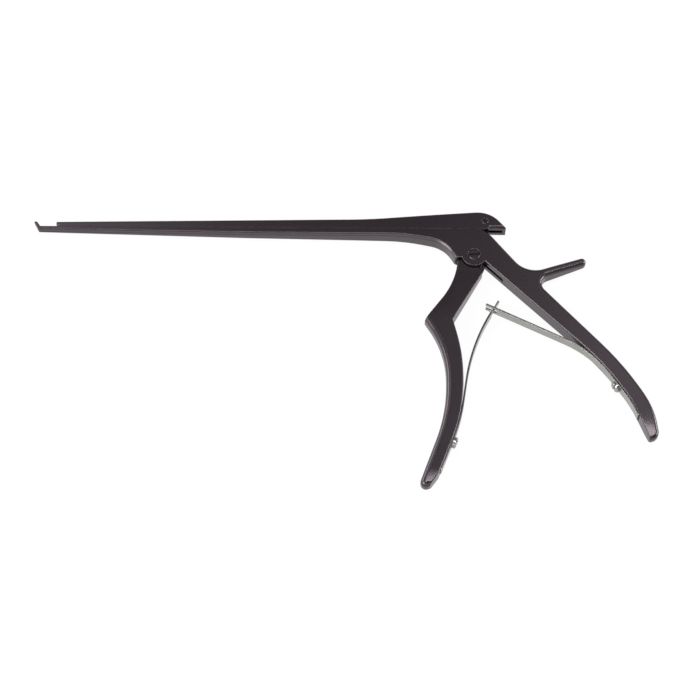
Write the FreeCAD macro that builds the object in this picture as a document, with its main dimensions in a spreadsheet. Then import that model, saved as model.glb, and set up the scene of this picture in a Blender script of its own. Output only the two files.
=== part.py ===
import FreeCAD, Part
import math
import os
import Sketcher

# Bone punch rongeur lying on its side. X runs along the shaft with the jaw at minus X,
# the handles point to minus Y, and Z is the thickness. The origin is on the pivot axis,
# in the plane that the instrument rests on. All lengths are in millimetres.

# Driving dimensions, one named value each. A name ending in _x or _y is a place in the side
# view, one ending in _bend is the radius of the curve at that corner of an outline.
SIZES = {
    # forging and plan taper of the shaft
    "forging_thick": 8.0,
    "seam_y": 13.5,
    "slide_gap": 0.05,
    "jaw_half_width": 1.4,
    "shaft_half_width": 3.15,
    "shaft_flare_x": -60.0,
    "shaft_flare_bend": 1500.0,
    "box_start_x": -18.0,
    "box_start_bend": 600.0,
    # foot plate
    "foot_top_x": -205.4,
    "foot_top_y": 15.9,
    "foot_thick": 1.45,
    "foot_base_x": -202.3,
    "heel_x": -202.8,
    "heel_y": 11.05,
    # underside of the lower shaft and of the box
    "under_a_x": -107.0,
    "under_a_y": 10.05,
    "under_a_bend": 300.0,
    "under_b_x": -32.0,
    "under_b_y": 10.0,
    "under_b_bend": 90.0,
    "under_c_x": -13.9,
    "under_c_y": 6.4,
    "under_c_bend": 14.0,
    "lip_x": -8.9,
    "lip_y": -1.6,
    "notch_y": -0.9,
    "cheek_radius": 5.8,
    "shaft_chamfer": 1.0,
    # rear handle, inner face from the root to the end, then the outer face
    "root_x": 2.43,
    "inner_a_x": 57.0,
    "inner_a_y": -54.4,
    "inner_a_bend": 110.0,
    "inner_b_x": 70.4,
    "inner_b_y": -74.2,
    "inner_b_bend": 68.0,
    "rear_end_x": 77.0,
    "rear_end_y": -92.1,
    "rear_tip_x": 81.9,
    "rear_tip_y": -92.4,
    "rear_tip_bend": 3.9,
    "rear_taper_y": -84.0,
    "rear_taper_bend": 60.0,
    "rear_tip_thick": 4.4,
    "outer_b_x": 79.5,
    "outer_b_y": -76.0,
    "outer_b_bend": 44.0,
    "outer_a_x": 66.1,
    "outer_a_y": -54.3,
    "outer_a_bend": 137.0,
    # thumb spur
    "web_x": 27.8,
    "web_y": -12.5,
    "web_bend": 4.5,
    "spur_low_x": 52.5,
    "spur_low_y": -3.0,
    "spur_high_x": 50.9,
    "spur_high_y": 0.5,
    "spur_tip_bend": 2.0,
    "spur_tip_thick": 4.6,
    "spur_taper_x": 34.0,
    "spur_taper_bend": 60.0,
    "saddle_x": 24.4,
    "saddle_y": -9.3,
    "saddle_bend": 11.5,
    # rear edge of the box
    "heel_back_x": 8.3,
    "heel_back_y": 10.5,
    "heel_back_bend": 4.0,
    "seam_end_x": 5.0,
    "outer_round": 1.8,
    "inner_round": 0.6,
    # upper shaft
    "nose_x": -194.6,
    "nose_lip_x": -194.9,
    "nose_lip_y": 14.6,
    "nose_back_x": -193.4,
    "nose_top_y": 16.15,
    "top_a_x": -48.8,
    "top_a_y": 18.8,
    "top_a_bend": 280.0,
    "top_b_x": 7.6,
    "top_b_y": 23.45,
    "top_b_bend": 13.0,
    "tail_x": 15.15,
    "tail_y": 14.6,
    "tail_round": 1.2,
    "tail_rise_x": 5.3,
    "tail_rise_run": 2.0,
    "top_round": 1.0,
    "cup_radius": 0.8,
    "cup_depth": 1.6,
    # rail under the upper shaft and its slot in the box
    "neck_width": 4.8,
    "neck_depth": 0.9,
    "flange_width": 6.4,
    "flange_depth": 0.9,
    "rail_start_x": -18.0,
    "rail_end_x": 4.6,
    "rail_gap": 0.06,
    "stroke": 8.1,
    "slot_room": 0.8,
    # small rail near the jaw
    "front_rail_x": -176.0,
    "front_rail_length": 8.0,
    "front_neck_width": 1.2,
    "front_neck_depth": 0.55,
    "front_flange_width": 2.0,
    "front_flange_depth": 0.55,
    # lever tongue, the slot it works in and the two cross screws
    "tongue_thick": 2.0,
    "fork_slot": 2.25,
    "lever_half_width": 2.4,
    "boss_radius": 4.6,
    "drive_x": 5.3,
    "drive_y": 17.9,
    "drive_radius": 1.2,
    "drive_play": 0.1,
    "drive_head_radius": 1.45,
    "drive_head_depth": 1.2,
    "drive_slot_angle": -58.0,
    "lever_over": 1.4,
    "lever_slot_in": 1.25,
    "pivot_radius": 1.8,
    "pivot_head_radius": 2.75,
    "pivot_head_depth": 1.6,
    "pivot_slot_angle": 6.0,
    "screw_gap": 0.03,
    "head_gap": 0.08,
    "screw_inset": 0.3,
    "pivot_slot_width": 0.8,
    "drive_slot_width": 0.5,
    "slot_depth": 0.7,
    # fork slot outline
    "fork_front_x": -8.7,
    "fork_low_y": -8.0,
    "fork_back_x": 7.4,
    "fork_mid_x": 8.6,
    "fork_mid_y": -1.5,
    "fork_exit_x": 13.6,
    "fork_exit_y": -11.9,
    # room in the upper shaft for the lever
    "pocket_front_x": -0.8,
    "pocket_back_x": 10.2,
    "pocket_end_x": 13.5,
    "pocket_top_y": 21.1,
    "pocket_slope_x": 6.6,
    "pocket_slope_y": 17.6,
    # front handle
    "horn_x": -7.6,
    "horn_y": -1.95,
    "shoulder_x": 1.0,
    "shoulder_y": -4.6,
    "shoulder_back_x": 3.85,
    "shoulder_back_y": -8.7,
    "cheek_gap": 0.3,
    "neck_front_x": -8.85,
    "neck_front_y": -14.0,
    "neck_front_bend": 41.0,
    "knee_x": -22.9,
    "knee_y": -33.9,
    "grip_a_x": -13.35,
    "grip_a_y": -49.4,
    "grip_a_bend": 50.0,
    "grip_b_y": -80.2,
    "grip_b_bend": 84.0,
    "front_tip_x": -26.9,
    "front_tip_y": -118.8,
    "front_tip_bend": 2.5,
    "front_taper_y": -110.0,
    "front_taper_bend": 40.0,
    "front_tip_thick": 5.6,
    "front_end_x": -20.9,
    "front_end_y": -116.0,
    "front_back_x": -16.95,
    "front_back_y": -110.2,
    "front_back_bend": 8.0,
    "back_b_x": -5.65,
    "back_b_y": -80.0,
    "back_b_bend": 87.0,
    "back_a_y": -51.2,
    "back_a_bend": 90.0,
    "elbow_x": -10.2,
    "elbow_y": -33.7,
    "grip_round": 2.4,
    "waist_thick": 5.2,
    "waist_y": -9.0,
    "waist_end_y": -30.0,
    # web of the tongue below the pivot
    "web_back_x": 4.9,
    "web_back_y": -5.6,
    "web_front_x": -6.2,
    # leaf springs
    "leaf_thick": 0.9,
    "leaf_width": 5.0,
    "leaf_lift_x": 0.05,
    "leaf_lift_y": 0.03,
    "seat_gap": 0.03,
    "channel_width": 5.5,
    "rear_leaf_tip_x": 5.2,
    "rear_leaf_tip_y": -25.2,
    "rear_leaf_top_x": 52.95,
    "rear_leaf_top_y": -48.4,
    "rear_leaf_top_bend": 48.0,
    "rear_leaf_low_bend": 50.0,
    "rear_leaf_tail": 6.5,
    "rear_screw_back": 11.3,
    "front_leaf_tip_x": 11.1,
    "front_leaf_tip_y": -22.6,
    "front_leaf_top_x": -1.8,
    "front_leaf_top_y": -46.7,
    "front_leaf_top_bend": 97.0,
    "front_leaf_low_x": -7.1,
    "front_leaf_low_y": -84.3,
    "front_leaf_low_bend": 90.0,
    "front_leaf_end_x": -16.2,
    "front_leaf_end_y": -108.3,
    "front_screw_down": 10.2,
    "prong_slot_width": 2.3,
    "prong_slot_length": 5.4,
    "leaf_tongue_width": 1.8,
    "leaf_tongue_length": 8.0,
    "leaf_screw_radius": 1.25,
    "leaf_head_radius": 2.6,
    "leaf_head_depth": 1.6,
    "leaf_screw_length": 4.0,
    "leaf_slot_width": 0.8,
    "leaf_slot_depth": 0.7,
    "leaf_screw_play": 0.05,
}

JOIN = 0.5
OVERRUN = 4.0
SHEET = "Sizes"


class Size:
    """A length with its number and the sheet expression that gives it."""

    def __init__(self, number, text):
        self.number = number
        self.text = text

    def _with(self, other, number, sign, turned=False):
        if not isinstance(other, Size):
            other = Size(float(other), repr(float(other)))
        first, second = (other, self) if turned else (self, other)
        return Size(number, "(" + first.text + " " + sign + " " + second.text + ")")

    def __add__(self, other):
        return self._with(other, self.number + plain(other), "+")

    def __sub__(self, other):
        return self._with(other, self.number - plain(other), "-")

    def __rsub__(self, other):
        return self._with(other, plain(other) - self.number, "-", True)

    def __mul__(self, other):
        return self._with(other, self.number * plain(other), "*")

    def __truediv__(self, other):
        return self._with(other, self.number / plain(other), "/")

    def __neg__(self):
        return Size(-self.number, "(-" + self.text + ")")


def plain(value):
    """The number of a Size, or the value itself."""
    return value.number if isinstance(value, Size) else float(value)


def size(name):
    """The driving dimension of that name."""
    return Size(float(SIZES[name]), SHEET + "." + name)


def along(line, x):
    """Height at x of the straight line through two corners."""
    (x0, y0), (x1, y1) = line
    slope = (y1 - y0) / (x1 - x0)
    return y0 + slope * (x - x0)


def bind(target, path, value):
    """Tie a property to the sheet."""
    target.setExpression(path, value.text)


def add_sheet(doc):
    """Put the driving dimensions in a spreadsheet with aliases."""
    sheet = doc.addObject("Spreadsheet::Sheet", SHEET)
    for row, (name, number) in enumerate(SIZES.items(), start=1):
        sheet.set("A%d" % row, name.replace("_", " "))
        sheet.set("B%d" % row, str(number))
        sheet.setAlias("B%d" % row, name)
    doc.recompute()


def origin_plane(body, role):
    """One of the origin planes of a body."""
    return [part for part in body.Origin.OriginFeatures if part.Role == role][0]


def sketch_on(body, name, height, role="XY_Plane"):
    """A sketch at a bound height over one of the origin planes of its own body."""
    sketch = body.newObject("Sketcher::SketchObject", name)
    sketch.AttachmentSupport = (origin_plane(body, role), [""])
    sketch.MapMode = "FlatFace"
    if height is not None:
        bind(sketch, "AttachmentOffset.Base.z", height)
    return sketch


def limit(sketch, kind, places, value):
    """Add a dimension to a sketch and bind it."""
    index = sketch.addConstraint(Sketcher.Constraint(kind, *places, value.number))
    name = "size_%d" % index
    sketch.renameConstraint(index, name)
    bind(sketch, "Constraints." + name, value)


def place_point(sketch, geometry, end, x, y):
    """Hold one point of a sketch at x and y from its origin."""
    limit(sketch, "DistanceX", (-1, 1, geometry, end), x)
    limit(sketch, "DistanceY", (-1, 1, geometry, end), y)


def bend_ends(before, corner, after, radius):
    """Tangent points, centre and side of the arc that rounds a corner."""
    arriving = (corner - before).normalize()
    leaving = (after - corner).normalize()
    side = 1.0 if arriving.x * leaving.y - arriving.y * leaving.x > 0 else -1.0
    turn = math.acos(max(-1.0, min(1.0, arriving.dot(leaving))))
    reach = radius * math.tan(turn / 2)
    first = corner - arriving * reach
    last = corner + leaving * reach
    centre = first + FreeCAD.Vector(-arriving.y, arriving.x, 0) * (radius * side)
    return first, last, centre, side


def trace(sketch, corners, closed=True):
    """Draw straight runs through corners (x, y, radius), joined by tangent arcs where a radius is given."""
    spots = [FreeCAD.Vector(x.number, y.number, 0) for x, y, _ in corners]
    count = len(corners)
    starts, ends, arcs = list(spots), list(spots), {}
    for i, (_, _, radius) in enumerate(corners):
        if radius is None:
            continue
        first, last, centre, side = bend_ends(spots[i - 1], spots[i], spots[(i + 1) % count], radius.number)
        ends[i], starts[i] = first, last
        angles = [math.atan2(p.y - centre.y, p.x - centre.x) for p in (first, last)]
        if side < 0:
            angles.reverse()
        circle = Part.Circle(centre, FreeCAD.Vector(0, 0, 1), radius.number)
        arcs[i] = (sketch.addGeometry(Part.ArcOfCircle(circle, *angles)), side)
    runs = count if closed else count - 1
    lines = [sketch.addGeometry(Part.LineSegment(starts[i], ends[(i + 1) % count])) for i in range(runs)]
    for i, (x, y, radius) in enumerate(corners):
        inner = closed or 0 < i < count - 1
        if not inner:
            line, end = (lines[0], 1) if i == 0 else (lines[-1], 2)
            place_point(sketch, line, end, x, y)
        elif radius is None:
            sketch.addConstraint(Sketcher.Constraint("Coincident", lines[i - 1], 2, lines[i], 1))
            place_point(sketch, lines[i], 1, x, y)
        else:
            arc, side = arcs[i]
            entry, leave = (1, 2) if side > 0 else (2, 1)
            sketch.addConstraint(Sketcher.Constraint("Tangent", lines[i - 1], 2, arc, entry))
            sketch.addConstraint(Sketcher.Constraint("Tangent", arc, leave, lines[i], 1))
            limit(sketch, "Radius", (arc,), radius)
            point = sketch.addGeometry(Part.Point(spots[i]), True)
            place_point(sketch, point, 1, x, y)
            sketch.addConstraint(Sketcher.Constraint("PointOnObject", point, 1, lines[i - 1]))
            sketch.addConstraint(Sketcher.Constraint("PointOnObject", point, 1, lines[i]))
    return sketch


def box_corners(x0, y0, x1, y1):
    """The four sharp corners of an upright rectangle."""
    return [(x0, y0, None), (x1, y0, None), (x1, y1, None), (x0, y1, None)]


def ring(sketch, radius, spot=None):
    """A bound circle at a spot, or at the origin of the sketch."""
    centre = FreeCAD.Vector(0, 0, 0) if spot is None else FreeCAD.Vector(spot[0].number, spot[1].number, 0)
    circle = sketch.addGeometry(Part.Circle(centre, FreeCAD.Vector(0, 0, 1), radius.number))
    if spot is None:
        sketch.addConstraint(Sketcher.Constraint("Coincident", circle, 3, -1, 1))
    else:
        place_point(sketch, circle, 3, *spot)
    limit(sketch, "Radius", (circle,), radius)
    return sketch


def grow(body, sketch, thick):
    """Pad a sketch to both sides by a bound thickness."""
    pad = body.newObject("PartDesign::Pad", "Pad_" + sketch.Name)
    pad.Profile = sketch
    pad.SideType = "Symmetric"
    bind(pad, "Length", thick)
    return settle(body, pad)


def cut(body, sketch, thick=None):
    """Pocket a sketch to both sides, by a bound thickness or all the way."""
    before = body.Tip.Shape.Volume
    pocket = body.newObject("PartDesign::Pocket", "Pocket_" + sketch.Name)
    pocket.Profile = sketch
    pocket.SideType = "Symmetric"
    if thick is None:
        pocket.Type = "ThroughAll"
    else:
        bind(pocket, "Length", thick)
    settle(body, pocket)
    if pocket.Shape.Volume >= before:
        raise RuntimeError(pocket.Name + " cuts nothing")
    return pocket


def settle(body, feature):
    """Recompute and stop at a feature that failed."""
    body.Tip = feature
    body.Document.recompute()
    if "Invalid" in feature.State or "Error" in feature.State or feature.Shape.isNull():
        raise RuntimeError(feature.Name + " failed")
    return feature


def edge_names(shape, spots):
    """Names of the edges nearest to the given spots."""
    names = []
    for spot in spots:
        vertex = Part.Vertex(spot)
        gaps = [edge.distToShape(vertex)[0] for edge in shape.Edges]
        names.append("Edge%d" % (gaps.index(min(gaps)) + 1))
    return sorted(set(names))


def break_edges(body, kind, amount, spots):
    """Fillet or chamfer the edges nearest to the spots, with what runs on tangent from them."""
    base = body.Tip
    feature = body.newObject("PartDesign::" + kind, kind + "_" + base.Name)
    feature.Base = (base, edge_names(base.Shape, spots))
    bind(feature, "Radius" if kind == "Fillet" else "Size", amount)
    return settle(body, feature)


def on_both_faces(x, y, inset=0.0):
    """The same place on the lower and on the upper side of the forging."""
    thick = size("forging_thick").number
    return [FreeCAD.Vector(x, y, inset), FreeCAD.Vector(x, y, thick - inset)]


def middle(first, second):
    """Halfway between two corners, as numbers."""
    return [(first[i].number + second[i].number) / 2 for i in (0, 1)]


QUARTER_TURN = Size(90.0, "90 deg")


def spot(name):
    """The corner whose two places carry this name."""
    return size(name + "_x"), size(name + "_y")


def bent(name):
    """A named corner with its own radius."""
    return spot(name) + (size(name + "_bend"),)


def sharp(name):
    """A named corner without a radius."""
    return spot(name) + (None,)


def mid_plane():
    """Height of the middle of the forging."""
    return size("forging_thick") / 2


def inner_line():
    """Two corners of the straight first stretch of the inner face of the rear handle."""
    return (size("root_x"), size("notch_y")), spot("inner_a")


def taper_plan(body, far_x, near_x):
    """Cut the shaft narrower towards the jaw, on both sides of its middle."""
    middle_z = mid_plane()
    reach = size("forging_thick")
    edge = (
        (far_x, size("jaw_half_width"), None),
        (size("shaft_flare_x"), size("shaft_half_width"), size("shaft_flare_bend")),
        (size("box_start_x"), middle_z, size("box_start_bend")),
        (size("box_start_x") + OVERRUN * 4, middle_z, None),
    )
    for name, sign in (("PlanUpper", 1), ("PlanLower", -1)):
        sketch = sketch_on(body, body.Name + name, near_x, "XZ_Plane")
        corners = [(x, middle_z + half * sign, bend) for x, half, bend in edge]
        corners.append((size("box_start_x") + OVERRUN * 4, middle_z + reach * sign, None))
        corners.append((far_x, middle_z + reach * sign, None))
        trace(sketch, corners)
        cut(body, sketch)


def frame_outline():
    """Corners of the lower shaft, box, spur and rear handle in the side view."""
    seam = size("seam_y")
    foot_x, foot_y = spot("foot_top")
    return [
        sharp("heel"),
        bent("under_a"),
        bent("under_b"),
        bent("under_c"),
        sharp("lip"),
        (size("root_x"), size("notch_y"), None),
        bent("inner_a"),
        bent("inner_b"),
        sharp("rear_end"),
        bent("rear_tip"),
        bent("outer_b"),
        bent("outer_a"),
        bent("web"),
        spot("spur_low") + (size("spur_tip_bend"),),
        spot("spur_high") + (size("spur_tip_bend") * 0.85,),
        bent("saddle"),
        bent("heel_back"),
        (size("seam_end_x"), seam, None),
        (size("foot_base_x"), seam, None),
        (foot_x + size("foot_thick"), foot_y, None),
        (foot_x, foot_y, None),
    ]


def thin_end(body, name, role, beside, start, bend, far, tip_thick, reach=None):
    """Thin an end of the forging on both sides, from a bend at the start to its tip."""
    middle_z = mid_plane()
    before = start - OVERRUN if far.number > start.number else start + OVERRUN * 2
    for side, sign in (("Upper", 1), ("Lower", -1)):
        sketch = sketch_on(body, name + side, beside, role)
        corners = [
            (before, middle_z * (1 + sign), None),
            (start, middle_z * (1 + sign), bend),
            (far, middle_z + tip_thick / 2 * sign, None),
            (far, middle_z + size("forging_thick") * sign, None),
            (before, middle_z + size("forging_thick") * sign, None),
        ]
        cut(body, trace(sketch, corners), reach)


def thin_spur(body):
    """Thin the thumb spur towards its tip, and leave the handle below it as it is."""
    beside = -(size("web_y") + size("spur_high_y")) / 2
    reach = size("spur_high_y") - size("web_y") + size("spur_tip_bend")
    thin_end(body, "Spur", "XZ_Plane", beside, size("spur_taper_x"), size("spur_taper_bend"),
             size("spur_high_x") + OVERRUN, size("spur_tip_thick"), reach)


def cut_fork(body):
    """Slot in the middle of the box, in which the tongue of the front handle swings."""
    high = size("seam_y") + 1
    sketch = sketch_on(body, "ForkSlot", mid_plane())
    corners = [
        (size("fork_front_x"), size("fork_low_y"), None),
        sharp("fork_exit"),
        sharp("fork_mid"),
        (size("fork_back_x"), high, None),
        (size("fork_front_x"), high, None),
    ]
    cut(body, trace(sketch, corners), size("fork_slot"))


def cut_rail_slot(body, name, start_x, end_x, neck_width, neck_depth, flange_width, flange_depth):
    """T-shaped slot under the seam that holds a rail of the upper shaft."""
    gap = size("rail_gap")
    seam = size("seam_y")
    neck_low = seam - neck_depth - gap
    neck = sketch_on(body, name + "Neck", mid_plane())
    cut(body, trace(neck, box_corners(start_x, neck_low - JOIN / 2, end_x, seam + JOIN)), neck_width + gap * 2)
    flange = sketch_on(body, name + "Flange", mid_plane())
    flange_high = seam - neck_depth + gap
    flange_low = seam - neck_depth - flange_depth - gap
    cut(body, trace(flange, box_corners(start_x, flange_low, end_x, flange_high)), flange_width + gap * 2)


def cut_round(body, name, radius, thick, height, place=None):
    """Round hole along Z, centred on a height."""
    sketch = sketch_on(body, name, height)
    cut(body, ring(sketch, radius, place), thick)


def frame_body(doc):
    """Lower shaft with foot plate, slotted box, rear handle and thumb spur: one forging."""
    body = doc.addObject("PartDesign::Body", "frame_forging")
    thick = size("forging_thick")
    outline = frame_outline()
    grow(body, trace(sketch_on(body, "FrameSide", mid_plane()), outline), thick)
    thin_spur(body)
    thin_end(body, "RearEnd", "YZ_Plane", size("rear_tip_x"), size("rear_taper_y"),
             size("rear_taper_bend"), size("rear_tip_y"), size("rear_tip_thick"))
    outer = middle(spot("outer_a"), spot("web"))
    inner = middle(*inner_line())
    break_edges(body, "Fillet", size("outer_round"), on_both_faces(*outer))
    break_edges(body, "Fillet", size("inner_round"), on_both_faces(*inner))
    taper_plan(body, size("foot_top_x") - OVERRUN, -size("seam_y"))
    under = middle(spot("under_a"), spot("heel"))
    under_near = [size("under_c_x").number * 0.5 + size("lip_x").number * 0.5,
                  size("under_c_y").number * 0.5 + size("lip_y").number * 0.5]
    half = size("jaw_half_width").number
    mid = mid_plane().number
    spots = [FreeCAD.Vector(under[0], under[1], mid + side * (half + 1.0)) for side in (-1, 1)]
    break_edges(body, "Chamfer", size("shaft_chamfer"), spots + on_both_faces(*under_near))
    cheek = sketch_on(body, "Cheek", mid_plane())
    grow(body, ring(cheek, size("cheek_radius")), thick)
    rail = size("stroke") + size("slot_room")
    cut_rail_slot(body, "RailSlot", size("rail_start_x") - rail, size("heel_back_x") + OVERRUN,
                  size("neck_width"), size("neck_depth"), size("flange_width"), size("flange_depth"))
    front_end = size("front_rail_x") + size("front_rail_length") + size("slot_room")
    cut_rail_slot(body, "FrontSlot", size("front_rail_x") - rail, front_end,
                  size("front_neck_width"), size("front_neck_depth"),
                  size("front_flange_width"), size("front_flange_depth"))
    cut_fork(body)
    cut_round(body, "PivotBore", size("pivot_radius") + size("screw_gap"), None, mid_plane())
    seat_depth = size("pivot_head_depth") + size("seat_gap")
    cut_round(body, "PivotSeat", size("pivot_head_radius") + size("head_gap"), seat_depth * 2, thick)
    return body


def add_rail(body, name, start_x, end_x, neck_width, neck_depth, flange_width, flange_depth):
    """T-shaped rail that hangs from the underside of the upper shaft."""
    seam = size("seam_y")
    neck = sketch_on(body, name + "Neck", mid_plane())
    top = seam + size("slide_gap") + JOIN
    grow(body, trace(neck, box_corners(start_x, seam - neck_depth - flange_depth / 2, end_x, top)), neck_width)
    flange = sketch_on(body, name + "Flange", mid_plane())
    low = seam - neck_depth - flange_depth
    grow(body, trace(flange, box_corners(start_x, low, end_x, seam - neck_depth)), flange_width)


def slider_body(doc):
    """Upper shaft: punch nose, long taper, swept tail with its rail and the room for the lever."""
    body = doc.addObject("PartDesign::Body", "upper_shaft")
    thick = size("forging_thick")
    under = size("seam_y") + size("slide_gap")
    rail_low = size("seam_y") - size("neck_depth") - size("flange_depth")
    outline = [
        (size("nose_back_x"), under, None),
        (size("tail_rise_x"), under, None),
        (size("tail_rise_x") + size("tail_rise_run"), size("tail_y"), None),
        sharp("tail"),
        bent("top_b"),
        bent("top_a"),
        (size("nose_x"), size("nose_top_y"), None),
        (size("nose_lip_x"), size("nose_lip_y"), None),
        (size("nose_back_x"), size("nose_lip_y") - JOIN / 2, None),
    ]
    grow(body, trace(sketch_on(body, "SliderSide", mid_plane()), outline), thick)
    taper_plan(body, size("nose_lip_x") - OVERRUN, -size("seam_y"))
    top = middle(spot("top_a"), (size("nose_x"), size("nose_top_y")))
    tail = middle(spot("top_b"), spot("tail"))
    mid = mid_plane().number
    spots = [FreeCAD.Vector(top[0], top[1], mid + side * size("shaft_half_width").number) for side in (-1, 1)]
    spots += on_both_faces(*tail)
    break_edges(body, "Fillet", size("top_round"), spots)
    add_rail(body, "Rail", size("rail_start_x"), size("rail_end_x"), size("neck_width"),
             size("neck_depth"), size("flange_width"), size("flange_depth"))
    add_rail(body, "FrontRail", size("front_rail_x"), size("front_rail_x") + size("front_rail_length"),
             size("front_neck_width"), size("front_neck_depth"),
             size("front_flange_width"), size("front_flange_depth"))
    room = sketch_on(body, "LeverRoom", mid_plane())
    corners = [
        (size("pocket_front_x"), rail_low - 1, None),
        (size("pocket_end_x"), rail_low - 1, None),
        (size("pocket_end_x"), size("tail_y") + JOIN, None),
        (size("pocket_back_x"), size("pocket_slope_y"), None),
        (size("pocket_slope_x"), size("pocket_top_y"), None),
        (size("pocket_front_x"), size("pocket_top_y"), None),
    ]
    cut(body, trace(room, corners), size("fork_slot"))
    round_tail(body)
    cut_cup(body)
    drive = spot("drive")
    cut_round(body, "DriveBore", size("drive_radius") + size("screw_gap"), None, mid_plane(), drive)
    seat_depth = size("drive_head_depth") + size("seat_gap")
    cut_round(body, "DriveSeat", size("drive_head_radius") + size("screw_gap"), seat_depth * 2, thick, drive)
    return body


def round_tail(body):
    """Round the lower edges of the tail where it stands out behind the box."""
    middle_z = mid_plane()
    bend = size("tail_round")
    low = size("tail_y")
    start = size("tail_rise_x") + size("tail_rise_run")
    centre = (start + size("tail_x")) / 2 + JOIN
    for name, sign in (("TailUpper", 1), ("TailLower", -1)):
        sketch = sketch_on(body, name, centre, "YZ_Plane")
        face = middle_z * (1 + sign)
        inner = face - (bend + JOIN) * sign
        corners = [
            (low, inner, None),
            (low, face, bend),
            (low + bend + JOIN, face, None),
            (low + bend + JOIN, face + JOIN * sign, None),
            (low - JOIN, face + JOIN * sign, None),
            (low - JOIN, inner, None),
        ]
        cut(body, trace(sketch, corners), size("tail_x") - start + JOIN * 2)


def cut_cup(body):
    """Hollow in the nose that takes the bite, bored along the shaft."""
    height = (size("nose_top_y") + size("nose_lip_y")) / 2
    sketch = sketch_on(body, "Cup", size("nose_lip_x"), "YZ_Plane")
    cut(body, ring(sketch, size("cup_radius"), (height, mid_plane())), size("cup_depth") * 2)


def lever_length():
    """Distance from the pivot to the drive screw."""
    return math.hypot(SIZES["drive_x"], SIZES["drive_y"])


def lever_sketch(body, name):
    """A sketch in the middle of the forging whose X axis points from the pivot to the drive screw."""
    sketch = sketch_on(body, name, mid_plane())
    sketch.setExpression("AttachmentOffset.Rotation.Angle",
                         "atan2(%s.drive_y; %s.drive_x)" % (SHEET, SHEET))
    return sketch


def handle_outline():
    """Corners of the front handle in the side view, without its tongue."""
    return [
        sharp("horn"),
        bent("neck_front"),
        sharp("knee"),
        bent("grip_a"),
        (size("grip_a_x"), size("grip_b_y"), size("grip_b_bend")),
        bent("front_tip"),
        sharp("front_end"),
        bent("front_back"),
        bent("back_b"),
        (size("back_b_x"), size("back_a_y"), size("back_a_bend")),
        sharp("elbow"),
        sharp("shoulder_back"),
        sharp("shoulder"),
    ]


def cut_waist(body):
    """Thin the neck of the front handle towards the pivot, on both sides."""
    middle_z = mid_plane()
    for name, sign in (("WaistUpper", 1), ("WaistLower", -1)):
        sketch = sketch_on(body, name, size("knee_x") - OVERRUN, "YZ_Plane")
        high = middle_z + size("forging_thick") * sign
        corners = [
            (size("waist_end_y"), middle_z * (1 + sign), None),
            (size("waist_y"), middle_z + size("waist_thick") / 2 * sign, None),
            (size("cheek_radius"), middle_z + size("waist_thick") / 2 * sign, None),
            (size("cheek_radius"), high, None),
            (size("waist_end_y"), high, None),
        ]
        trace(sketch, corners)
        cut(body, sketch)


def handle_body(doc):
    """Front handle: curved finger grip, thinner neck, and the tongue with its open end for the drive screw."""
    body = doc.addObject("PartDesign::Body", "front_forging")
    thick = size("forging_thick")
    grow(body, trace(sketch_on(body, "HandleSide", mid_plane()), handle_outline()), thick)
    thin_end(body, "FrontEnd", "YZ_Plane", size("front_tip_x"), size("front_taper_y"),
             size("front_taper_bend"), size("front_tip_y"), size("front_tip_thick"))
    front = (SIZES["grip_a_x"], (SIZES["grip_a_y"] + SIZES["grip_b_y"]) / 2)
    back = (SIZES["back_b_x"], (SIZES["back_a_y"] + SIZES["back_b_y"]) / 2)
    neck = middle(spot("neck_front"), spot("knee"))
    neck_back = middle(spot("elbow"), spot("shoulder_back"))
    break_edges(body, "Fillet", size("grip_round"), on_both_faces(*front))
    break_edges(body, "Fillet", size("inner_round"), on_both_faces(*back))
    cut_waist(body)
    cut(body, ring(sketch_on(body, "CheekRoom", mid_plane()), size("cheek_radius") + size("cheek_gap")))
    boss = sketch_on(body, "PivotBoss", mid_plane())
    grow(body, ring(boss, size("boss_radius")), size("tongue_thick"))
    web = sketch_on(body, "Web", mid_plane())
    corners = [
        (size("web_front_x"), size("waist_y"), None),
        (size("shoulder_back_x") - JOIN, size("shoulder_back_y") - JOIN, None),
        (size("web_back_x"), size("web_back_y"), size("tongue_thick") / 2),
        (size("boss_radius"), -size("tongue_thick"), None),
        (size("shoulder_x"), size("boss_radius") * 0.8, None),
        (-size("boss_radius"), size("tongue_thick") * 0.2, None),
        (size("web_front_x"), size("horn_y") - JOIN, None),
    ]
    grow(body, trace(web, corners), size("tongue_thick"))
    lever = lever_sketch(body, "Lever")
    reach = Size(lever_length(), "hypot(%s.drive_x; %s.drive_y)" % (SHEET, SHEET))
    side = size("lever_half_width")
    tip = reach + size("lever_over")
    corners = [
        (size("slide_gap"), -size("boss_radius"), None),
        (tip, -side, size("tongue_thick") / 2),
        (tip, side, size("tongue_thick") / 2),
        (size("slide_gap"), size("boss_radius"), None),
    ]
    grow(body, trace(lever, corners), size("tongue_thick"))
    fork = lever_sketch(body, "DriveFork")
    half = size("drive_radius") + size("drive_play")
    inner = reach - size("lever_slot_in")
    corners = [
        (inner - half, -half, half * 0.98),
        (tip + 1, -half, None),
        (tip + 1, half, None),
        (inner - half, half, half * 0.98),
    ]
    cut(body, trace(fork, corners), size("tongue_thick") * 2)
    cut_round(body, "TonguePivot", size("pivot_radius") + size("screw_gap"), None, mid_plane())
    return body


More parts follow.
